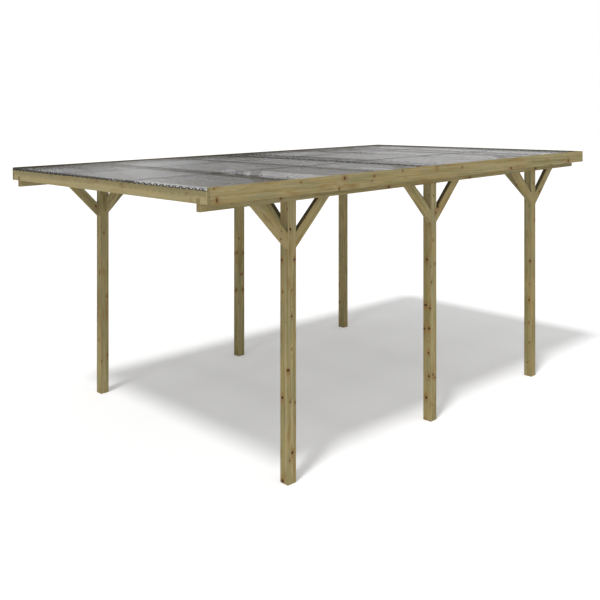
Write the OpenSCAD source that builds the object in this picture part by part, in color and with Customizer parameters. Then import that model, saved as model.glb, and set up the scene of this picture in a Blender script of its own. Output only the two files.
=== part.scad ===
// Open timber carport: two rows of posts, each under a long beam, with a gently
// falling roof of corrugated plastic sheets inside a frame of fascia boards.
// +X runs from the low front to the high back, +Y is left, +Z is up. The origin
// is on the ground, at the middle of the whole plan.

/* [Posts] */
// Side of the square posts
post_w = 88; // [70:1:120]
// Distance between neighbouring posts of one row, centre to centre
bay = 1852; // [1300:1:2400]
// Distance between the two rows of posts, centre to centre
row_gap = 2830; // [2200:1:3400]
// Height of the underside of the beams at the front posts
clear_h = 2218; // [1900:1:2600]

/* [Beams and braces] */
// Height of the long beams and of the front fascia
beam_h = 97; // [80:1:145]
// Thickness of the long beams
beam_t = 42; // [35:1:50]
// Reach of each brace, along its beam and down its post
brace_reach = 372; // [300:1:450]
// Width of the braces across their slope
brace_w = 88; // [60:1:100]
// Thickness of the braces
brace_t = 40; // [28:1:45]

/* [Roof frame] */
// Fall of the roof towards the front, in millimetres for each metre
fall = 16.8; // [10:0.1:40]
// Roof length in front of the front posts, from their centres
front_overhang = 895; // [600:1:1100]
// Roof length behind the back posts, from their centres
back_overhang = 933; // [600:1:1100]
// Roof width outside each row of posts, from their centres
side_overhang = 164; // [140:1:260]
// Height of the side and back fascia boards
fascia_h = 122; // [110:1:160]
// Thickness of all the fascia boards
fascia_t = 35; // [22:1:40]
// Height of the purlins and cross beams
purlin_h = 58; // [45:1:70]
// Width of the purlins and cross beams
purlin_w = 45; // [35:1:60]
// Middle of the first purlin, from the front face of the roof
first_purlin = 969; // [700:1:1100]
// Middle of the last evenly spaced purlin, from the back face of the roof
last_purlin = 676; // [500:1:800]
// Number of evenly spaced purlins
purlins = 5; // [4:1:6]

/* [Roof sheets] */
// Distance from crest to crest of the sheets
wave_pitch = 81; // [70:1:100]
// Depth of the waves
wave_depth = 18; // [14:1:24]
// Thickness of the sheets
sheet_t = 1.4; // [1:0.1:2]
// Length that the sheets reach past the front fascia
drip = 25; // [10:1:50]
// Length by which the back sheets lie over the front ones
end_lap = 415; // [200:1:450]
// Length that the front sheets run past the middle purlin
lap_tail = 60; // [40:1:100]

/* [Clearances] */
// Gap at each side of a beam in its notch in the front fascia
notch_gap = 1; // [0.5:0.1:3]
// Gap between the top of a post's cheek or a cross beam and the purlins
purlin_gap = 2; // [1:0.5:5]
// Gap between a sheet and what it lies on
sheet_gap = 0.3; // [0.2:0.1:0.5]
// Least gap between the sheets and the fascia boards beside them
edge_gap = 3; // [2:1:10]

/* [Hidden] */
ENDS = ["front", "middle", "back"];
SIDES = ["right", "left"];
LEANS = ["fore", "aft", "cross"];
FRONT = 0;
BACK = 1;
FORE = 0;
AFT = 1;
ROWS = ["front", "back"];
COLUMNS = ["right", "middle", "left"];

// Slope of the roof, and how far it rises for each millimetre of run
rise = fall / 1000;
slope = atan(rise);

// The roof frame's own lengths start at the front posts' centres, along the
// slope, and its heights start at the underside of the beams.
roof_front = -front_overhang;
roof_back = 2 * bay + back_overhang;
roof_half_w = row_gap / 2 + side_overhang;
inner_half_w = roof_half_w - fascia_t;
seat_h = beam_h + purlin_h;
fascia_foot = seat_h - beam_h;

// Purlins: the even ones, and one more that carries the back ends of the sheets
even_first = roof_front + first_purlin;
even_last = roof_back - last_purlin;
end_purlin = roof_back - fascia_t - purlin_w;
even_step = (even_last - even_first) / (purlins - 1);
PURLIN_AT = [for (i = [0:purlins - 1]) even_first + i * even_step, end_purlin];

// Sheets: two rows of three, each sheet over its neighbour by one wave
waves = floor(2 * (inner_half_w - edge_gap) / wave_pitch);
outer_waves = floor((waves + 2) / 3);
middle_waves = waves + 2 - 2 * outer_waves;
WAVE_FROM = [0, outer_waves - 1, waves - outer_waves];
WAVE_COUNT = [outer_waves, middle_waves, outer_waves];
wave_steps = 10;
lift = sheet_t + sheet_gap;
lap_end = PURLIN_AT[floor(purlins / 2)] + lap_tail;
back_sheet_end = roof_back - fascia_t - edge_gap;
back_sheet_l = back_sheet_end - lap_end + end_lap;
// The back row leans on the front row, which lifts its lower end
lean = atan((len(ROWS) * lift) / (back_sheet_end - lap_end));

// Middle of the whole plan, so that the origin comes out there
sheet_top = seat_h + sheet_gap + wave_depth + sheet_t + lift;
plan_front = (roof_front - drip) * cos(slope) - sheet_top * sin(slope);
plan_back = roof_back * cos(slope) - fascia_foot * sin(slope);
front_post_x = -(plan_front + plan_back) / 2;

timber = "#8f835e";
light_timber = "#999070";
plastic = [0.62, 0.63, 0.64, 0.6];
bite = 1;

NODES = [
    for (e = ENDS, s = SIDES) str(e, "_", s, "_post"),
    for (e = ENDS, s = SIDES, l = LEANS) str(e, "_", s, "_brace_", l),
    for (s = SIDES) str(s, "_beam"),
    for (e = ENDS) str(e, "_cross_beam"),
    for (i = [0:len(PURLIN_AT) - 1]) str("purlin_", i + 1),
    for (s = SIDES) str(s, "_fascia"),
    "front_fascia",
    "back_fascia",
    for (r = ROWS, c = COLUMNS) str(r, "_roof_sheet_", c)
];
node = "all";

function drawn(name) = node == "all" || node == name;

// Side of the plan as a sign: -1 right, 1 left
function side_of(s) = s == 0 ? -1 : 1;

// Place along X of a post's centre, and height of the beams' underside there
function post_x(e) = front_post_x + e * bay;
function soffit(x) = clear_h + (x - front_post_x) * rise;

// Centre of a wave of the sheets, and height of the sheets across the roof
function wave_y(w) = (w - waves / 2) * wave_pitch;
function wave_z(w) = wave_depth * (1 - cos(360 * w)) / 2;

// Anything inside is placed by the roof frame's own lengths and heights
module on_roof() {
    translate([front_post_x, 0, clear_h])
        rotate([0, -slope, 0])
            children();
}

// A plate of an outline drawn in X and Z, from y to y + t
module plate_along(y, t) {
    translate([0, y + t, 0])
        rotate([90, 0, 0])
            linear_extrude(t)
                children();
}

// A plate of an outline drawn in Y and Z, from x to x + t
module plate_across(x, t) {
    translate([x, 0, 0])
        rotate([90, 0, 90])
            linear_extrude(t)
                children();
}

// A bar from one corner to the other
module bar(low, high) {
    translate(low)
        cube(high - low);
}

// Post: its outer half stops under the beam, its inner cheek stands beside it
module post(e, s) {
    x = post_x(e);
    y = side_of(s) * row_gap / 2;
    low = x - post_w / 2;
    high = x + post_w / 2;
    cheek = beam_h / cos(slope) - purlin_gap;
    color(timber)
        difference() {
            plate_along(y - post_w / 2, post_w)
                polygon([
                    [low, 0],
                    [high, 0],
                    [high, soffit(high) + cheek],
                    [low, soffit(low) + cheek]
                ]);
            beam_space(s, bite);
        }
}

// The room that a beam takes, drawn wider outwards and upwards for cutting
module beam_space(s, extra) {
    outer = row_gap / 2 + post_w / 2;
    on_roof()
        mirror([0, s == 0 ? 1 : 0, 0])
            bar([roof_front - extra, outer - beam_t, 0], [roof_back, outer + extra, beam_h + extra]);
}

// Outline of a brace that fills a square corner: the post on the left, the beam
// above. up is how far the beam's underside climbs for each unit of run.
module brace_outline(up) {
    band = brace_w * sqrt(2);
    far = brace_reach / (1 - up);
    near = (brace_reach - band) / (1 - up);
    polygon([
        [0, -brace_reach],
        [far, far * up],
        [near, near * up],
        [0, band - brace_reach]
    ]);
}

// Brace between a post and its long beam, flush with their outer faces
module brace_along(e, s, way) {
    dir = way == FORE ? -1 : 1;
    x = post_x(e) + dir * post_w / 2;
    outer = row_gap / 2 + post_w / 2;
    y = s == 0 ? -outer : outer - brace_t;
    color(timber)
        translate([x, 0, soffit(x)])
            plate_along(y, brace_t)
                scale_x(dir)
                    brace_outline(dir * rise);
}

// Brace between a post and its cross beam, flush with their back faces
module brace_cross(e, s) {
    x = post_x(e) + post_w / 2;
    y = side_of(s) * (row_gap - post_w) / 2;
    color(timber)
        translate([0, y, cross_soffit(e)])
            plate_across(x - brace_t, brace_t)
                scale_x(-side_of(s))
                    brace_outline(0);
}

// Mirrors an outline left to right when the sign is negative
module scale_x(sign) {
    mirror([sign < 0 ? 1 : 0, 0])
        children();
}

// Cross beam: level with the beams' tops, between the two rows of posts
function cross_soffit(e) =
    soffit(post_x(e) + post_w / 2 - purlin_w) + beam_h - purlin_gap - purlin_h;

module cross_beam(e) {
    x = post_x(e) + post_w / 2;
    y = (row_gap - post_w) / 2;
    z = cross_soffit(e);
    color(timber)
        bar([x - purlin_w, -y, z], [x, y, z + purlin_h]);
}

// Long beam on the posts of one row, from the front face to the back fascia
module beam(s) {
    outer = row_gap / 2 + post_w / 2;
    color(timber)
        on_roof()
            mirror([0, s == 0 ? 1 : 0, 0])
                bar([roof_front, outer - beam_t, 0], [roof_back - fascia_t, outer, beam_h]);
}

// Purlin across the beams, between the side fascias
module purlin(i) {
    x = PURLIN_AT[i];
    color(timber)
        on_roof()
            bar([x - purlin_w / 2, -inner_half_w, beam_h], [x + purlin_w / 2, inner_half_w, seat_h]);
}

module side_fascia(s) {
    color(timber)
        on_roof()
            mirror([0, s == 0 ? 1 : 0, 0])
                bar(
                    [roof_front, inner_half_w, fascia_foot],
                    [roof_back, roof_half_w, fascia_foot + fascia_h]
                );
}

// Front fascia: low enough for the sheets to cross it, notched over the beams
module front_fascia() {
    outer = row_gap / 2 + post_w / 2;
    color(light_timber)
        on_roof()
            difference() {
                bar(
                    [roof_front, -inner_half_w, fascia_foot],
                    [roof_front + fascia_t, inner_half_w, seat_h]
                );
                for (m = [0, 1])
                    mirror([0, m, 0])
                        bar(
                            [roof_front - bite, outer - beam_t - notch_gap, fascia_foot - bite],
                            [roof_front + fascia_t + bite, outer + notch_gap, beam_h]
                        );
            }
}

module back_fascia() {
    color(light_timber)
        on_roof()
            bar(
                [roof_back - fascia_t, -inner_half_w, fascia_foot],
                [roof_back, inner_half_w, fascia_foot + fascia_h]
            );
}

// Outline of a corrugated sheet of some waves, drawn across the roof
module wave_outline(from, count) {
    last = count * wave_steps;
    under = [for (i = [0:last]) [wave_y(from + i / wave_steps), wave_z(i / wave_steps)]];
    over = [for (i = [last:-1:0]) under[i] + [0, sheet_t]];
    polygon(concat(under, over));
}

// Roof sheet: the middle column lies over both its neighbours, and the back row
// leans on the front row
module roof_sheet(row, column) {
    raise = seat_h + sheet_gap + (column == 1 ? lift : 0);
    length = row == FRONT ? lap_end - roof_front + drip : back_sheet_l;
    end = row == FRONT ? lap_end : back_sheet_end;
    color(plastic)
        on_roof()
            translate([end, 0, raise])
                rotate([0, row == BACK ? lean : 0, 0])
                    plate_across(-length, length)
                        wave_outline(WAVE_FROM[column], WAVE_COUNT[column]);
}

for (e = [0:2], s = [0:1]) {
    place = str(ENDS[e], "_", SIDES[s]);
    if (drawn(str(place, "_post"))) post(e, s);
    if (drawn(str(place, "_brace_fore"))) brace_along(e, s, FORE);
    if (drawn(str(place, "_brace_aft"))) brace_along(e, s, AFT);
    if (drawn(str(place, "_brace_cross"))) brace_cross(e, s);
}
for (s = [0:1]) if (drawn(str(SIDES[s], "_beam"))) beam(s);
for (e = [0:2]) if (drawn(str(ENDS[e], "_cross_beam"))) cross_beam(e);
for (i = [0:len(PURLIN_AT) - 1]) if (drawn(str("purlin_", i + 1))) purlin(i);
for (s = [0:1]) if (drawn(str(SIDES[s], "_fascia"))) side_fascia(s);
if (drawn("front_fascia")) front_fascia();
if (drawn("back_fascia")) back_fascia();
for (r = [0:1], c = [0:2]) if (drawn(str(ROWS[r], "_roof_sheet_", COLUMNS[c]))) roof_sheet(r, c);
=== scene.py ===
"""An open timber carport with a corrugated plastic roof, on a plain pale floor. Sizes are in metres."""

import math
import random

import bpy
from mathutils import Matrix, Vector

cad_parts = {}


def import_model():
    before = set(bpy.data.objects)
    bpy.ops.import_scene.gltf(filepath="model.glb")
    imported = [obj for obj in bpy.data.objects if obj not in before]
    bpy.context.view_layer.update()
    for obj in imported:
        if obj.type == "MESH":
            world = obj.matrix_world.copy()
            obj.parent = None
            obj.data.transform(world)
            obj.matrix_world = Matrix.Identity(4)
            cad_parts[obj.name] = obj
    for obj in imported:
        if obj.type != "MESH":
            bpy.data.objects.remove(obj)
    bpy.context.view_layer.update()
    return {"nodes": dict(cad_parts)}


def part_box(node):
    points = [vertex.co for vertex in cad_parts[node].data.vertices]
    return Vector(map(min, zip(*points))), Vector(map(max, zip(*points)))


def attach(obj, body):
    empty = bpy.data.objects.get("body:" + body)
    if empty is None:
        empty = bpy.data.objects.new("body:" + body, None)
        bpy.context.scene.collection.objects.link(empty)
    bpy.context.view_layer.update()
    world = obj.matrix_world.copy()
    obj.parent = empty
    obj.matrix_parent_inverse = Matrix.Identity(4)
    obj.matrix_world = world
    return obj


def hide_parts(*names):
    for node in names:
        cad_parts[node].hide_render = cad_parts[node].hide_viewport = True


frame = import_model()

ENDS = ("front", "middle", "back")
SIDES = ("right", "left")
SHEET_COLUMNS = ("right", "middle", "left")
PURLINS = range(1, 7)
X, Y, Z = Vector((1, 0, 0)), Vector((0, 1, 0)), Vector((0, 0, 1))
WHITE = (1, 1, 1, 1)
chance = random.Random(7)


# ---------------------------------------------------------------- helpers

def srgb(red, green, blue):
    """A colour as it looks on screen, from 0 to 255, as a linear colour for the shaders."""
    linear = []
    for value in (red, green, blue):
        share = value / 255
        linear.append(share / 12.92 if share <= 0.04045 else ((share + 0.055) / 1.055) ** 2.4)
    return (*linear, 1.0)


def grey(share):
    """A linear grey for the shaders, from 0 to 1."""
    return (share, share, share, 1)


def inward_from(side):
    """The way from one row of posts to the other."""
    return -Y if side == "left" else Y


def corners(node):
    """The vertices of a CAD node."""
    return [vertex.co.copy() for vertex in frame["nodes"][node].data.vertices]


def new_piece(name, verts, faces, *materials):
    """A new piece, fixed to the carport."""
    mesh = bpy.data.meshes.new(name)
    mesh.from_pydata(verts, [], faces)
    for material in materials:
        mesh.materials.append(material)
    made = bpy.data.objects.new(name, mesh)
    bpy.context.scene.collection.objects.link(made)
    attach(made, "root")
    return made


class Nodes:
    """A small wrapper that makes shader nodes and links them in one call. A value is a number, a
    colour or vector, or the socket that it comes from."""

    def __init__(self, tree):
        self.tree = tree

    def add(self, kind, inputs=None, **settings):
        node = self.tree.nodes.new(kind)
        for name, value in settings.items():
            setattr(node, name, value)
        for name, value in (inputs or {}).items():
            self.put(value, node.inputs[name])
        return node

    def put(self, value, socket):
        if isinstance(value, bpy.types.NodeSocket):
            self.tree.links.new(value, socket)
        else:
            socket.default_value = value

    def math(self, operation, *values):
        node = self.add("ShaderNodeMath", operation=operation)
        for number, value in enumerate(values):
            self.put(value, node.inputs[number])
        return node.outputs[0]

    def plus(self, first, second):
        return self.math("ADD", first, second)

    def minus(self, first, second):
        return self.math("SUBTRACT", first, second)

    def times(self, first, second):
        return self.math("MULTIPLY", first, second)

    def over(self, first, second):
        return self.math("DIVIDE", first, second)

    def squared(self, value):
        return self.math("POWER", value, 2.0)

    def distance(self, first, second):
        """The length of the diagonal of two sides."""
        return self.math("SQRT", self.plus(self.squared(first), self.squared(second)))

    def off(self, value, middle):
        """How far a value is from a middle one."""
        return self.math("ABSOLUTE", self.minus(value, middle))

    def vector(self, operation, first, second=(0, 0, 0)):
        node = self.add("ShaderNodeVectorMath", {0: first, 1: second}, operation=operation)
        return node.outputs["Value" if operation in {"LENGTH", "DOT_PRODUCT"} else "Vector"]

    def split(self, vector):
        return self.add("ShaderNodeSeparateXYZ", {0: vector}).outputs

    def join(self, x=0.0, y=0.0, z=0.0):
        return self.add("ShaderNodeCombineXYZ", {0: x, 1: y, 2: z}).outputs[0]

    def span(self, value, low, high, to_low=0.0, to_high=1.0, smooth=True):
        """value from low to high, as to_low to to_high, held outside."""
        limits = {"From Min": low, "From Max": high, "To Min": to_low, "To Max": to_high}
        kind = "SMOOTHSTEP" if smooth else "LINEAR"
        node = self.add("ShaderNodeMapRange", {"Value": value, **limits}, interpolation_type=kind)
        return node.outputs["Result"]

    def noise(self, place, scale, detail=2.0, roughness=0.5):
        """Noise with one scale, or a scale for each axis."""
        if isinstance(scale, tuple):
            place, scale = self.vector("MULTIPLY", place, scale), 1.0
        sizes = {"Scale": scale, "Detail": detail, "Roughness": roughness}
        return self.add("ShaderNodeTexNoise", {"Vector": place, **sizes}).outputs["Fac"]

    def mix(self, share, first, second):
        """A colour, from the first at a share of 0 to the second at 1."""
        node = self.add("ShaderNodeMix", data_type="RGBA")
        self.put(share, node.inputs["Factor"])
        for socket, value in zip([s for s in node.inputs if s.type == "RGBA"], (first, second)):
            self.put(value, socket)
        return [s for s in node.outputs if s.type == "RGBA"][0]

    def blend(self, share, first, second):
        """A shader, from the first at a share of 0 to the second at 1."""
        return self.add("ShaderNodeMixShader", {0: share, 1: first, 2: second}).outputs[0]

    def see_through(self, colour):
        """A shader that lets light straight through, in this colour."""
        return self.add("ShaderNodeBsdfTransparent", {"Color": colour}).outputs[0]

    def surface(self, shader):
        self.put(shader, self.add("ShaderNodeOutputMaterial").inputs["Surface"])


def empty_material(name):
    """A new material with no nodes yet, and what makes its nodes."""
    material = bpy.data.materials.new(name)
    material.use_nodes = True
    material.node_tree.nodes.clear()
    return material, Nodes(material.node_tree)


# ---------------------------------------------------------------- treated pine

PINE_PALE = srgb(174, 162, 121)
PINE_OLIVE = srgb(131, 126, 80)
PINE_YELLOW = srgb(163, 143, 91)
PINE_BROWN = srgb(142, 114, 68)
PINE_GREY = srgb(146, 142, 112)
LATE_WOOD = srgb(118, 99, 56)
KNOT_HEART = srgb(66, 44, 22)
KNOT_HALO = srgb(138, 98, 52)
CRACK = srgb(58, 46, 28)
END_GRAIN = srgb(104, 92, 58)
# painted shade for the timber: on the upper faces of the braces, the inner faces of the fascias and the
# tops of the purlins
PAINTED_SHADE = srgb(58, 56, 40)

# the scales of its noises: along the grain, then twice across it
DRIFT_SCALE = (0.7, 2, 2)
UNEVEN_SCALE = (0.6, 14, 14)
FIBRE_SCALE = (9, 420, 420)
STREAK_SCALE = (0.9, 52, 52)
HUE_SCALE = (2.4, 15, 15)
STAIN_SCALE = (4.5, 22, 22)
CRACK_SCALE = (1.1, 60, 60)
CRACKED_SCALE = (1.6, 9, 9)
WOBBLE_SCALE = 90.0

# where along a noise, a ring or a turn each of its features comes in
LATE_SPAN, LATE_STOP = (0.25, 0.88), (0.9, 1.0)
YELLOW_SPAN = (0.36, 0.64)
PALE_SPAN = (0.34, 0.68)
BROWN_SPAN = (0.53, 0.70)
GREY_SPAN = (0.46, 0.30)
FIBRE_SPAN = (0.35, 0.75)
ROUGH_SPAN, ROUGHNESS = (0.3, 0.7), (0.68, 0.86)
CRACKED_SPAN = (0.60, 0.66)
END_SPAN = (0.75, 0.95)
# the turn at which the painted shade comes in on faces that look away from the light
PAINTED_SHADE_SPAN = (0.6, 0.9)

# how strongly each feature shows, and how far it stands out of the surface
LATE_SHARE, LATE_TINT, LATE_RELIEF = 0.6, 0.45, 0.35
FIBRE_SHARE, FIBRE_RELIEF = 0.30, 0.5
CRACK_SHARE, CRACK_RELIEF = 0.8, -3.0
RIM_SHARE, RIM_RELIEF = 0.6, -0.5
HALO_SHARE = 0.6
BROWN_SHARE = 0.75
GREY_SHARE = 0.6
END_SHARE = 0.45
# how dark the painted shade gets on faces that look away from the light, and along the tops of the purlins
PAINTED_SHADE_SHARE = 0.75
TOP_SHADE_SHARE = 0.85
RELIEF_SHARE, RELIEF_DEPTH = 0.5, 0.0012
TIMBER_SPECULAR = 0.3

DRIFT = 0.03
PITH_RADIUS = 0.002
RING_WIDTH = 0.0042
RING_UNEVEN = 0.010
CRACK_WIDTH = 0.006

# knots: their cells round the pith, then their sizes, and their parts as shares of their size
KNOTS_ROUND, KNOT_JITTER = 0.72, 0.75
SMALL_KNOTS = 0.42
KNOT_SIZES = (0.0008, 0.0125)
KNOT_WOBBLE = 0.004
KNOT_CORE = (0.8, 1.15)
KNOT_RIM = 0.28
HALO_REACH, HALO_STRETCH = (0.9, 2.8), 0.45
SWELL_REACH, SWELL_HEIGHT = 2.4, 1.3
NEAR_ONE = 0.99999
BOARD_KNOTS = 0.42
POST_KNOTS = 0.22

GRAIN_STARTS = 40
BOARD_PITH_GAP, BOARD_PITH_OFF = (0.012, 0.04), 0.02
POST_PITH_OFF = 0.014
ARRIS, ARRIS_SEGMENTS, ARRIS_ANGLE = 0.0028, 3, math.radians(40)
# a band of painted shade along the top of each purlin, where the sheets shade it: how deep it reaches and
# how soft it is
TOP_SHADE_DEPTH, TOP_SHADE_BLUR = 0.016, 0.004


def knots(n, wood, along, round_way, radius, spacing):
    """Knots, each a small branch that runs out from the pith. Gives the shares of a place that are
    knot, the rim of a knot and the halo round one, and how far the growth rings swell there."""
    cell_along = n.join(n.over(along, spacing))
    cell_round = n.add("ShaderNodeVectorMath", {0: round_way, "Scale": KNOTS_ROUND}, operation="SCALE")
    cell_place = n.vector("ADD", cell_along, cell_round.outputs[0])
    inputs = {"Vector": cell_place, "Scale": 1.0, "Randomness": KNOT_JITTER}
    cells = n.add("ShaderNodeTexVoronoi", inputs, voronoi_dimensions="3D").outputs
    luck = n.add("ShaderNodeSeparateColor", {0: cells["Color"]}).outputs[0]
    size = n.span(luck, SMALL_KNOTS, 1.0, *KNOT_SIZES, smooth=False)

    branch = n.split(cells["Position"])
    branch_way = n.vector("NORMALIZE", n.join(0.0, branch[1], branch[2]))
    # rounding could take the cosine past 1, where it has no arc
    cosine = n.math("MINIMUM", n.vector("DOT_PRODUCT", round_way, branch_way), NEAR_ONE)
    arc = n.times(n.math("ARCCOSINE", cosine), radius)
    gap_along = n.minus(along, n.times(branch[0], spacing))
    wobble = n.times(n.minus(n.noise(wood, WOBBLE_SCALE), 0.5), KNOT_WOBBLE)
    gap = n.plus(n.distance(gap_along, arc), wobble)
    long_gap = n.distance(n.times(gap_along, HALO_STRETCH), arc)

    core = n.span(n.over(gap, size), *KNOT_CORE, 1.0, 0.0)
    rim = n.span(n.off(n.over(gap, size), 1.0), 0.0, KNOT_RIM, 1.0, 0.0)
    halo = n.span(n.over(long_gap, size), *HALO_REACH, 1.0, 0.0)
    fade = n.squared(n.over(long_gap, n.times(size, SWELL_REACH)))
    swell = n.times(n.math("EXPONENT", n.times(fade, -1.0)), n.times(size, SWELL_HEIGHT))
    return core, rim, halo, swell


def drying_cracks(n, wood, place):
    """Fine drying cracks along the grain, in stretches."""
    line = n.noise(wood, CRACK_SCALE, 1.0)
    stretch = n.noise(place, CRACKED_SCALE, 1.0)
    return n.times(n.span(n.off(line, 0.5), 0.0, CRACK_WIDTH, 1.0, 0.0), n.span(stretch, *CRACKED_SPAN))


def pine_group():
    """Solid pine: +X is along the grain and the pith is the X axis."""
    tree = bpy.data.node_groups.new("treated_pine", "ShaderNodeTree")
    for name, kind in (("Place", "Vector"), ("Facing", "Vector"), ("Knot Gap", "Float")):
        tree.interface.new_socket(name, in_out="INPUT", socket_type=f"NodeSocket{kind}")
    for name, kind in (("Colour", "Color"), ("Roughness", "Float"), ("Height", "Float")):
        tree.interface.new_socket(name, in_out="OUTPUT", socket_type=f"NodeSocket{kind}")
    n = Nodes(tree)
    given = n.add("NodeGroupInput").outputs
    place = given["Place"]

    # the pith wanders a little along the timber
    drift_place = n.vector("MULTIPLY", place, DRIFT_SCALE)
    drift = n.add("ShaderNodeTexNoise", {"Vector": drift_place, "Scale": 1.0, "Detail": 1.0})
    either_way = n.vector("SUBTRACT", drift.outputs["Color"], (0.5, 0.5, 0.5))
    wood = n.vector("ADD", place, n.vector("MULTIPLY", either_way, (0, DRIFT, DRIFT)))
    along, across, up = n.split(wood)
    from_pith = n.join(0.0, across, up)
    radius = n.math("MAXIMUM", n.vector("LENGTH", from_pith), PITH_RADIUS)
    round_way = n.vector("NORMALIZE", from_pith)
    core, rim, halo, swell = knots(n, wood, along, round_way, radius, given["Knot Gap"])
    crack = drying_cracks(n, wood, place)

    # growth rings, each pale at first and darker late in the year
    uneven = n.times(n.noise(wood, UNEVEN_SCALE, 3.0), RING_UNEVEN)
    ring = n.math("FRACT", n.over(n.plus(n.plus(radius, swell), uneven), RING_WIDTH))
    late = n.times(n.span(ring, *LATE_SPAN), n.span(ring, *LATE_STOP, 1.0, 0.0))

    # fibres, and soft bands of hue along the timber
    fibre = n.noise(wood, FIBRE_SCALE, 3.0, 0.6)
    streak = n.noise(place, STREAK_SCALE, 3.0, 0.55)
    hue = n.noise(place, HUE_SCALE, 3.0)
    stain = n.noise(place, STAIN_SCALE, 3.0)
    tint = n.mix(n.span(hue, *YELLOW_SPAN), PINE_OLIVE, PINE_YELLOW)

    # the end grain drinks more of the treatment and is darker
    end_grain = n.span(n.math("ABSOLUTE", n.split(given["Facing"])[0]), *END_SPAN)

    layers = (
        (n.span(streak, *PALE_SPAN), PINE_PALE),
        (n.span(stain, *BROWN_SPAN, 0.0, BROWN_SHARE), PINE_BROWN),
        (n.span(stain, *GREY_SPAN, 0.0, GREY_SHARE), PINE_GREY),
        (n.times(late, LATE_SHARE), n.mix(LATE_TINT, LATE_WOOD, tint)),
        (n.span(fibre, *FIBRE_SPAN, 0.0, FIBRE_SHARE), LATE_WOOD),
        (n.times(halo, HALO_SHARE), KNOT_HALO),
        (core, KNOT_HEART),
        (n.times(rim, n.times(core, RIM_SHARE)), CRACK),
        (n.times(crack, CRACK_SHARE), CRACK),
        (n.times(end_grain, END_SHARE), END_GRAIN),
    )
    colour = tint
    for share, layer in layers:
        colour = n.mix(share, colour, layer)
    relief = n.plus(n.times(late, LATE_RELIEF), n.times(fibre, FIBRE_RELIEF))
    relief = n.plus(relief, n.times(crack, CRACK_RELIEF))
    relief = n.plus(relief, n.times(rim, RIM_RELIEF))
    out = n.add("NodeGroupOutput").inputs
    n.put(colour, out["Colour"])
    n.put(n.span(fibre, *ROUGH_SPAN, *ROUGHNESS), out["Roughness"])
    n.put(relief, out["Height"])
    return tree


PINE = pine_group()


def timber_material(
    node, grain, pith, lighter=0.0, damp=(0, 0, 0), knot_gap=BOARD_KNOTS, wet_above=math.inf
):
    """Pine for one timber. Its grain runs along "grain", and "pith" leads from its centre to its
    pith. It is "lighter" by a share. Painted shade darkens its faces that look along a given way
    and its top above a given height. The cells that hold its knots are "knot_gap" long."""
    low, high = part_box(node)
    side = Z if abs(grain.dot(Z)) < 0.9 else X
    second = side.cross(grain).normalized()
    turn = Matrix((grain, second, grain.cross(second)))
    start = X * chance.uniform(-GRAIN_STARTS, GRAIN_STARTS)
    shift = start - turn @ ((low + high) / 2 + pith)
    turned_by = turn.to_euler()

    material, n = empty_material(f"pine_{node}")
    where = n.add("ShaderNodeTexCoord").outputs
    place = {"Vector": where["Object"], "Rotation": turned_by, "Location": shift}
    facing = {"Vector": where["Normal"], "Rotation": turned_by}
    pine = n.add("ShaderNodeGroup", node_tree=PINE)
    n.put(n.add("ShaderNodeMapping", place).outputs[0], pine.inputs["Place"])
    n.put(n.add("ShaderNodeMapping", facing, vector_type="VECTOR").outputs[0], pine.inputs["Facing"])
    n.put(knot_gap, pine.inputs["Knot Gap"])

    colour = n.mix(lighter, pine.outputs["Colour"], PINE_PALE)
    # painted shade on faces that look away from the light: the upper faces of the braces and the inner
    # faces of the fascias
    towards = n.vector("DOT_PRODUCT", where["Normal"], damp)
    colour = n.mix(n.span(towards, *PAINTED_SHADE_SPAN, 0.0, PAINTED_SHADE_SHARE), colour, PAINTED_SHADE)
    # painted shade along the top of a purlin, where the sheets shade it
    if wet_above < math.inf:
        height = n.split(where["Object"])[2]
        wet = n.span(height, wet_above - TOP_SHADE_BLUR, wet_above + TOP_SHADE_BLUR, 0.0, TOP_SHADE_SHARE)
        colour = n.mix(wet, colour, PAINTED_SHADE)
    relief = {"Height": pine.outputs["Height"], "Strength": RELIEF_SHARE, "Distance": RELIEF_DEPTH}
    bump = n.add("ShaderNodeBump", relief).outputs[0]
    rough = pine.outputs["Roughness"]
    shader = n.add("ShaderNodeBsdfPrincipled", {"Base Color": colour, "Roughness": rough, "Normal": bump})
    shader.inputs["Specular IOR Level"].default_value = TIMBER_SPECULAR
    n.surface(shader.outputs[0])
    return material


def board_pith(node, face):
    """The pith lies outside a board, behind one of its wide faces."""
    low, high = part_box(node)
    across = [axis for axis in (X, Y, Z) if axis != face]
    depth = abs(face.dot(high - low)) / 2 + chance.uniform(*BOARD_PITH_GAP)
    behind = face * depth * chance.choice((-1, 1))
    return behind + across[1] * chance.uniform(-BOARD_PITH_OFF, BOARD_PITH_OFF)


def post_pith():
    """The pith runs inside a post, a little off its middle."""
    x, y = (chance.uniform(-POST_PITH_OFF, POST_PITH_OFF) for _ in range(2))
    return X * x + Y * y


def dress_timber(node, grain, pith, **look):
    """Gives a CAD timber its pine and eases its edges."""
    piece = frame["nodes"][node]
    piece.data.materials.clear()
    piece.data.materials.append(timber_material(node, grain.normalized(), pith, **look))
    ease = piece.modifiers.new("eased_edges", "BEVEL")
    ease.width = ARRIS
    ease.segments = ARRIS_SEGMENTS
    ease.limit_method = "ANGLE"
    ease.angle_limit = ARRIS_ANGLE
    ease.harden_normals = True


def dress_board(node, grain, face, **look):
    """Gives a CAD board its pine. Its wide faces look along "face"."""
    dress_timber(node, grain, board_pith(node, face), **look)


def dress_post(place, side):
    """Gives a post and its braces their pine, with painted shade on the upper faces of the braces."""
    dress_timber(f"{place}_post", Z, post_pith(), knot_gap=POST_KNOTS)
    for brace, run, face in (("fore", -X, Y), ("aft", X, Y), ("cross", inward_from(side), X)):
        dress_board(f"{place}_brace_{brace}", Z + run, face, damp=(Z - run).normalized())


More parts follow.
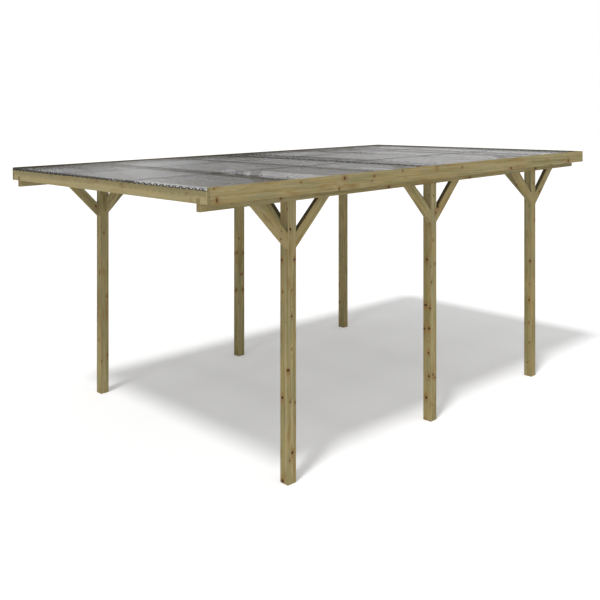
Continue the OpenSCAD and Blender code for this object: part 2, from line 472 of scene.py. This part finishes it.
def dress_timbers():
    """Gives all the timbers their pine, with painted shade on the inner faces of the fascias and
    along the tops of the purlins."""
    for end in ENDS:
        for side in SIDES:
            dress_post(f"{end}_{side}", side)
        dress_board(f"{end}_cross_beam", Y, X)
    for side in SIDES:
        dress_board(f"{side}_beam", X, Y)
        dress_board(f"{side}_fascia", X, Y, damp=inward_from(side))
    for number in PURLINS:
        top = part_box(f"purlin_{number}")[1].z
        dress_board(f"purlin_{number}", Y, X, wet_above=top - TOP_SHADE_DEPTH)
    dress_board("front_fascia", Y, X, lighter=0.5, damp=X)
    dress_board("back_fascia", Y, X, lighter=0.1, damp=-X)


# ---------------------------------------------------------------- roof sheets

WAVE_PITCH = 0.081
WAVE_STEPS = 16
LENGTH_STEPS = 6
SHEET_SKIN = 0.0014
END_REACH = 0.01
SHARP_ANGLE = math.radians(50)
# the lengths of the bands of painted shade at the ends of the sheets, for the dark line at the eave and
# along the lap
EDGE_SHADE_BAND = 0.013
LAP_SHADE_BAND = 0.024
# the kinds of faces of a sheet; the edge kind is painted shade
PLAIN, PAINTED_EDGE, LAPPED = range(3)

PLASTIC_TINT = (0.10, 0.10, 0.103, 1)
PLASTIC_ROUGH, PLASTIC_IOR, PLASTIC_SPECULAR = 0.3, 1.45, 0.3
PLASTIC_CLEAR = grey(0.97)
SHINE_ROUGH = 0.15
BLURRED_PASSED = 0.95
MILK = grey(0.8)
FRONT_CLEARNESS, BACK_CLEARNESS, LAPPED_CLEARNESS = 0.72, 0.82, 0.97
SKINS_SEEN_THROUGH = 32
# the dark greys of the painted shade on the cut edges and end bands of the sheets
EDGE_SHADE_DARK, EDGE_SHADE_PALE = srgb(28, 30, 31), srgb(44, 46, 48)
EDGE_CLOUDS, EDGE_ROUGH = 60.0, 0.4


def plastic_material(name, clearness, gloss=1.4, light_passed=0.30, milk=0.20):
    """Smoky see-through plastic. The camera sees a share "clearness" straight through it and the
    rest blurred, under a shine that is stronger for a higher "gloss". The light that falls
    through it is dimmed to a share "light_passed". Seen from the timber and the floor, a share
    "milk" of it spreads the light instead."""
    material, n = empty_material(name)
    path = n.add("ShaderNodeLightPath").outputs
    blurred = n.add("ShaderNodeBsdfPrincipled", {"Base Color": PLASTIC_TINT, "Roughness": PLASTIC_ROUGH})
    blurred.inputs["IOR"].default_value = PLASTIC_IOR
    blurred.inputs["Transmission Weight"].default_value = 1.0
    blurred.inputs["Specular IOR Level"].default_value = PLASTIC_SPECULAR
    through = n.blend(clearness, blurred.outputs[0], n.see_through(PLASTIC_CLEAR))
    shine = n.add("ShaderNodeBsdfAnisotropic", {"Color": WHITE, "Roughness": SHINE_ROUGH}).outputs[0]
    grazing = n.add("ShaderNodeFresnel", {"IOR": gloss}).outputs[0]
    inside = n.add("ShaderNodeNewGeometry").outputs["Backfacing"]
    seen = n.blend(inside, n.blend(grazing, through, shine), n.see_through(WHITE))

    shares = (light_passed, BLURRED_PASSED)
    passed = n.span(path["Is Transmission Ray"], 0.0, 1.0, *shares, smooth=False)
    passed_colour = n.add("ShaderNodeCombineColor", {0: passed, 1: passed, 2: passed}).outputs[0]
    milky = n.add("ShaderNodeBsdfTranslucent", {"Color": MILK}).outputs[0]
    lit = n.blend(n.times(path["Is Diffuse Ray"], milk), n.see_through(passed_colour), milky)
    n.surface(n.blend(path["Is Camera Ray"], lit, seen))
    return material


def edge_shade_material():
    """Painted shade: a dark grey, a little cloudy, on the cut edges of the sheets and on bands at their
    ends, where the gaps at the laps and the hollows under the crests fall dark.
    """
    material, n = empty_material("plastic_edge_painted_shade")
    where = n.add("ShaderNodeTexCoord").outputs["Object"]
    colour = n.mix(n.noise(where, EDGE_CLOUDS), EDGE_SHADE_DARK, EDGE_SHADE_PALE)
    shader = n.add("ShaderNodeBsdfPrincipled", {"Base Color": colour, "Roughness": EDGE_ROUGH})
    n.surface(shader.outputs[0])
    return material


def sheet_end(node, at):
    """The lowest and highest points of a CAD sheet at one of its cut ends."""
    near = [point for point in corners(node) if abs(point.x - at) < END_REACH]
    return min(near, key=lambda point: point.z), max(near, key=lambda point: point.z)


def wave_count(node):
    """The number of waves across a sheet."""
    low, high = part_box(node)
    return round((high.y - low.y) / WAVE_PITCH)


def sheet_verts(node, runs):
    """The points of a sheet with round waves, in the room of the CAD sheet: its lower skin, then its
    upper one, each in rows across it, at these shares of its length."""
    low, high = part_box(node)
    front_low, front_high = sheet_end(node, low.x)
    back_low, back_high = sheet_end(node, high.x)
    depth = front_high.z - front_low.z - SHEET_SKIN
    columns = wave_count(node) * WAVE_STEPS
    verts = []
    for skin in (0, SHEET_SKIN):
        for run in runs:
            for column in range(columns + 1):
                wave = column / WAVE_STEPS
                y = low.y + (high.y - low.y) * column / columns
                lift = depth * (1 - math.cos(2 * math.pi * wave)) / 2 + skin
                share = lift / (depth + SHEET_SKIN)
                start = front_low.x + (front_high.x - front_low.x) * share
                end = back_low.x + (back_high.x - back_low.x) * share
                z = front_low.z + (back_low.z - front_low.z) * run + lift
                verts.append((start + (end - start) * run, y, z))
    return verts


def sheet_faces(rows, columns):
    """The faces of the two skins of a sheet in pairs, row by row, and then those of its edges."""
    across = columns + 1
    layer = across * (rows + 1)
    skins, edges = [], []
    for row in range(rows):
        for column in range(columns):
            a = row * across + column
            skins.append((a, a + 1, a + across + 1, a + across))
            skins.append((layer + a, layer + a + across, layer + a + across + 1, layer + a + 1))
    for column in range(columns):
        a, b = column, layer - across + column
        edges.append((a + 1, a, layer + a, layer + a + 1))
        edges.append((b, b + 1, layer + b + 1, layer + b))
    for row in range(rows):
        a, b = row * across, row * across + columns
        edges.append((a, a + across, layer + a + across, layer + a))
        edges.append((b + across, b, layer + b, layer + b + across))
    return skins, edges


def smooth_sheet(node, materials, tip, covered=math.inf):
    """A corrugated sheet with round waves, in place of the CAD sheet. Its front end has a band of
    painted shade as long as "tip", and its back end another. From the place "covered" on, it lies under the
    next sheet."""
    low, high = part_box(node)
    length = high.x - low.x
    lap = (min(covered, high.x) - low.x) / length
    middle = [lap * step / LENGTH_STEPS for step in range(1, LENGTH_STEPS)]
    under = [lap] if lap < 1.0 else []
    runs = [0.0, tip / length, *middle, *under, 1.0 - EDGE_SHADE_BAND / length, 1.0]
    rows, columns = len(runs) - 1, wave_count(node) * WAVE_STEPS
    kinds = [LAPPED if run >= lap else PLAIN for run in runs[:rows]]
    kinds[0] = kinds[-1] = PAINTED_EDGE
    skins, edges = sheet_faces(rows, columns)
    made = new_piece(f"wavy_{node}", sheet_verts(node, runs), skins + edges, *materials)
    for number, face in enumerate(made.data.polygons):
        is_skin = number < len(skins)
        face.use_smooth = is_skin
        face.material_index = kinds[number // (2 * columns)] if is_skin else PAINTED_EDGE
    made.data.set_sharp_from_angle(angle=SHARP_ANGLE)
    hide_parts(node)


def roof_sheets():
    """The front sheets, and the back ones, which lie over the back ends of the front ones."""
    front = plastic_material("smoky_plastic", FRONT_CLEARNESS)
    back = plastic_material("back_plastic", BACK_CLEARNESS)
    lapped = plastic_material("clear_plastic", LAPPED_CLEARNESS, gloss=1.0, light_passed=1.0, milk=0.0)
    # painted shade for the cut edges and end bands
    edge_shade = edge_shade_material()
    for column in SHEET_COLUMNS:
        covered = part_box(f"back_roof_sheet_{column}")[0].x
        smooth_sheet(f"front_roof_sheet_{column}", (front, edge_shade, lapped), EDGE_SHADE_BAND, covered)
        smooth_sheet(f"back_roof_sheet_{column}", (back, edge_shade, lapped), LAP_SHADE_BAND)
    bpy.context.scene.cycles.transparent_max_bounces = SKINS_SEEN_THROUGH


# ---------------------------------------------------------------- screws

MM = 0.001
SCREW_SIDES = 12
# the rings of a head, from its foot to its middle, each a radius and a height in mm
SCREW_RINGS = ((5.0, 0.0), (5.0, 0.5), (4.4, 1.0), (2.6, 1.3), (2.2, 0.3))
CAP_RINGS = ((9.5, -2.8), (9.5, -1.0), (8.6, 0.3), (6.0, 1.0), (4.6, 1.1), (4.6, 3.9), (3.8, 4.5))
STAR = 0.72
BRACE_SCREWS = (0.045, 0.078)
WAVES_A_SCREW = 4

ZINC_LIGHT, ZINC_DARK, ZINC_ROUGH = srgb(158, 152, 130), srgb(120, 112, 88), 0.32
CAP_LIGHT, CAP_DARK, CAP_ROUGH = srgb(128, 130, 132), srgb(92, 94, 96), 0.4
METAL_CLOUDS, CLOUD_SPAN, CLOUD_DULLS = 220.0, (0.3, 0.7), 0.2


def metal_material(name, light, dark, rough):
    """Plated steel, a little cloudy."""
    material, n = empty_material(name)
    cloud = n.noise(n.add("ShaderNodeTexCoord").outputs["Object"], METAL_CLOUDS, 3.0)
    dull = n.span(cloud, *CLOUD_SPAN, rough, rough + CLOUD_DULLS)
    shader = n.add("ShaderNodeBsdfPrincipled", {"Base Color": n.mix(cloud, light, dark), "Roughness": dull})
    shader.inputs["Metallic"].default_value = 1.0
    n.surface(shader.outputs[0])
    return material


def add_head(verts, faces, at, outward, rings, star):
    """Adds the head of a screw at a place, looking "outward". Every second corner of its last two
    rings is pinched in by "star", which makes the drive recess where it is below 1."""
    side = outward.orthogonal().normalized()
    other = outward.cross(side)
    first = len(verts)
    for number, (radius, height) in enumerate(rings):
        for step in range(SCREW_SIDES):
            turn = 2 * math.pi * step / SCREW_SIDES
            pinch = star if number >= len(rings) - 2 and step % 2 else 1.0
            reach = (side * math.cos(turn) + other * math.sin(turn)) * radius * pinch
            verts.append(at + (reach + outward * height) * MM)
    last = first + (len(rings) - 1) * SCREW_SIDES
    for ring in range(first, last, SCREW_SIDES):
        for step in range(SCREW_SIDES):
            a, b = ring + step, ring + (step + 1) % SCREW_SIDES
            faces.append((a, b, b + SCREW_SIDES, a + SCREW_SIDES))
    faces.append(tuple(range(last, last + SCREW_SIDES)))
    faces.append(tuple(range(first + SCREW_SIDES - 1, first - 1, -1)))


def screw_piece(name, places, rings, star, metal):
    """One piece that holds all the screws of a joint or a purlin."""
    verts, faces = [], []
    for at, outward in places:
        add_head(verts, faces, at, outward, rings, star)
    new_piece(name, verts, faces, metal)


def brace_places(node, run, thick):
    """Two screws near each end of a brace, in its lower edge. It leans out along "run", and its
    thickness is along "thick"."""
    points = corners(node)
    low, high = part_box(node)
    foot = min(points, key=lambda point: point.z)
    head = max(points, key=lambda point: point.dot(run))
    foot = foot + thick * ((low + high) / 2 - foot).dot(thick)
    head = head - thick * (head - foot).dot(thick)
    way = (head - foot).normalized()
    outward = way.cross(thick)
    if outward.z > 0:
        outward = -outward
    starts = ((foot, way), (head, -way))
    return [(start + along * reach, outward) for start, along in starts for reach in BRACE_SCREWS]


def purlin_places(number):
    """Capped screws through the crests of the sheets, down the middle of a purlin."""
    low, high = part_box(f"purlin_{number}")
    x = (low.x + high.x) / 2
    places = []
    for column in SHEET_COLUMNS:
        node = f"back_roof_sheet_{column}"
        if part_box(node)[0].x > x:
            node = f"front_roof_sheet_{column}"
        low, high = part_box(node)
        front, back = sheet_end(node, low.x)[1], sheet_end(node, high.x)[1]
        z = front.z + (back.z - front.z) * (x - front.x) / (back.x - front.x)
        waves = wave_count(node)
        for wave in range(WAVES_A_SCREW // 2, waves, WAVES_A_SCREW):
            y = low.y + (high.y - low.y) * (wave + 0.5) / waves
            places.append((Vector((x, y, z)), Z))
    return places


def screws():
    """The screws of all the braces, and those that hold the sheets."""
    zinc = metal_material("zinc_plate", ZINC_LIGHT, ZINC_DARK, ZINC_ROUGH)
    cap = metal_material("grey_cap", CAP_LIGHT, CAP_DARK, CAP_ROUGH)
    for end in ENDS:
        for side in SIDES:
            place = f"{end}_{side}"
            places = brace_places(f"{place}_brace_fore", -X, Y)
            places += brace_places(f"{place}_brace_aft", X, Y)
            places += brace_places(f"{place}_brace_cross", inward_from(side), X)
            screw_piece(f"{place}_brace_screws", places, SCREW_RINGS, STAR, zinc)
    for number in PURLINS:
        screw_piece(f"purlin_{number}_sheet_screws", purlin_places(number), CAP_RINGS, 1.0, cap)


# ---------------------------------------------------------------- stage, light and camera

FLOOR_WIDTH = 160
FLOOR_WHITE = 0.95
FLOOR_GLOW = 0.145

SKY_RIGHT, SKY_LEFT = 0.78, 0.26
# the mirrored sky, by how far a way leads along +X
RING_STARTS, RING_ENDS = (0.44, 0.52), (0.53, 0.59)
BEFORE_RING, AFTER_RING = 0.15, 0.12
BEYOND_STARTS, BEYOND = (0.62, 0.80), 0.36

SUN_POWER = 1.75
SUN_SPREAD = math.radians(8.5)
SUN_WAY = Vector((0.50, 0.17, -1))

CAMERA_PLACE = (-6.0954, -5.9128, 2.8698)
CAMERA_TURN = (math.radians(90), 0, math.radians(-44.066))
CAMERA_LENS = 47.08
CAMERA_SENSOR = 36
CAMERA_SHIFT = (0.0023, -0.3037)


def floor():
    """A pale floor that keeps the shadow. To the camera it glows a little, so that it is white."""
    bpy.ops.mesh.primitive_plane_add(size=FLOOR_WIDTH, location=(0, 0, 0))
    plane = bpy.context.object
    plane.name = "floor"
    material, n = empty_material("floor")
    paint = n.add("ShaderNodeBsdfDiffuse", {"Color": grey(FLOOR_WHITE)}).outputs[0]
    strength = n.times(n.add("ShaderNodeLightPath").outputs["Is Camera Ray"], FLOOR_GLOW)
    glow = n.add("ShaderNodeEmission", {"Color": WHITE, "Strength": strength}).outputs[0]
    n.surface(n.add("ShaderNodeAddShader", {0: paint, 1: glow}).outputs[0])
    plane.data.materials.append(material)


def world():
    """Soft light that is stronger from the right side. The camera sees plain white, with or without
    plastic in between."""
    made = bpy.data.worlds.new("studio")
    bpy.context.scene.world = made
    made.use_nodes = True
    n = Nodes(made.node_tree)
    made.node_tree.nodes.clear()
    path = n.add("ShaderNodeLightPath").outputs
    way = n.split(n.add("ShaderNodeTexCoord").outputs["Generated"])
    soft = n.span(way[1], -1.0, 1.0, SKY_RIGHT, SKY_LEFT, smooth=False)
    shown = n.math("MAXIMUM", path["Is Camera Ray"], path["Is Transmission Ray"])
    plain = n.math("MAXIMUM", soft, shown)
    # the sky that the roof mirrors is dark, with a white ring about 60 degrees off +X, and grey
    # within about 40 degrees of +X
    rise = n.span(way[0], *RING_STARTS, BEFORE_RING, 1.0)
    ring = n.times(rise, n.span(way[0], *RING_ENDS, 1.0, AFTER_RING))
    beyond = n.span(way[0], *BEYOND_STARTS, 0.0, BEYOND)
    mirrored = n.times(path["Is Glossy Ray"], n.minus(1.0, shown))
    change = n.minus(n.plus(ring, beyond), plain)
    strength = n.plus(plain, n.times(mirrored, change))
    glow = n.add("ShaderNodeBackground", {"Color": WHITE, "Strength": strength})
    n.put(glow.outputs[0], n.add("ShaderNodeOutputWorld").inputs["Surface"])


def sun():
    """A soft sun, high up in front and a little to the right."""
    lamp = bpy.data.lights.new("sun", "SUN")
    lamp.energy = SUN_POWER
    lamp.angle = SUN_SPREAD
    made = bpy.data.objects.new("sun", lamp)
    bpy.context.scene.collection.objects.link(made)
    made.rotation_mode = "QUATERNION"
    made.rotation_quaternion = SUN_WAY.to_track_quat("-Z", "Y")


def camera():
    """The photo's view, level, from beyond the front right corner, with the lens shifted down."""
    lens = bpy.data.cameras.new("camera")
    lens.sensor_width = CAMERA_SENSOR
    lens.lens = CAMERA_LENS
    lens.shift_x, lens.shift_y = CAMERA_SHIFT
    made = bpy.data.objects.new("camera", lens)
    bpy.context.scene.collection.objects.link(made)
    made.location = CAMERA_PLACE
    made.rotation_euler = CAMERA_TURN
    bpy.context.scene.camera = made


dress_timbers()
roof_sheets()
screws()
floor()
world()
sun()
camera()
bpy.context.scene.view_settings.view_transform = "Standard"
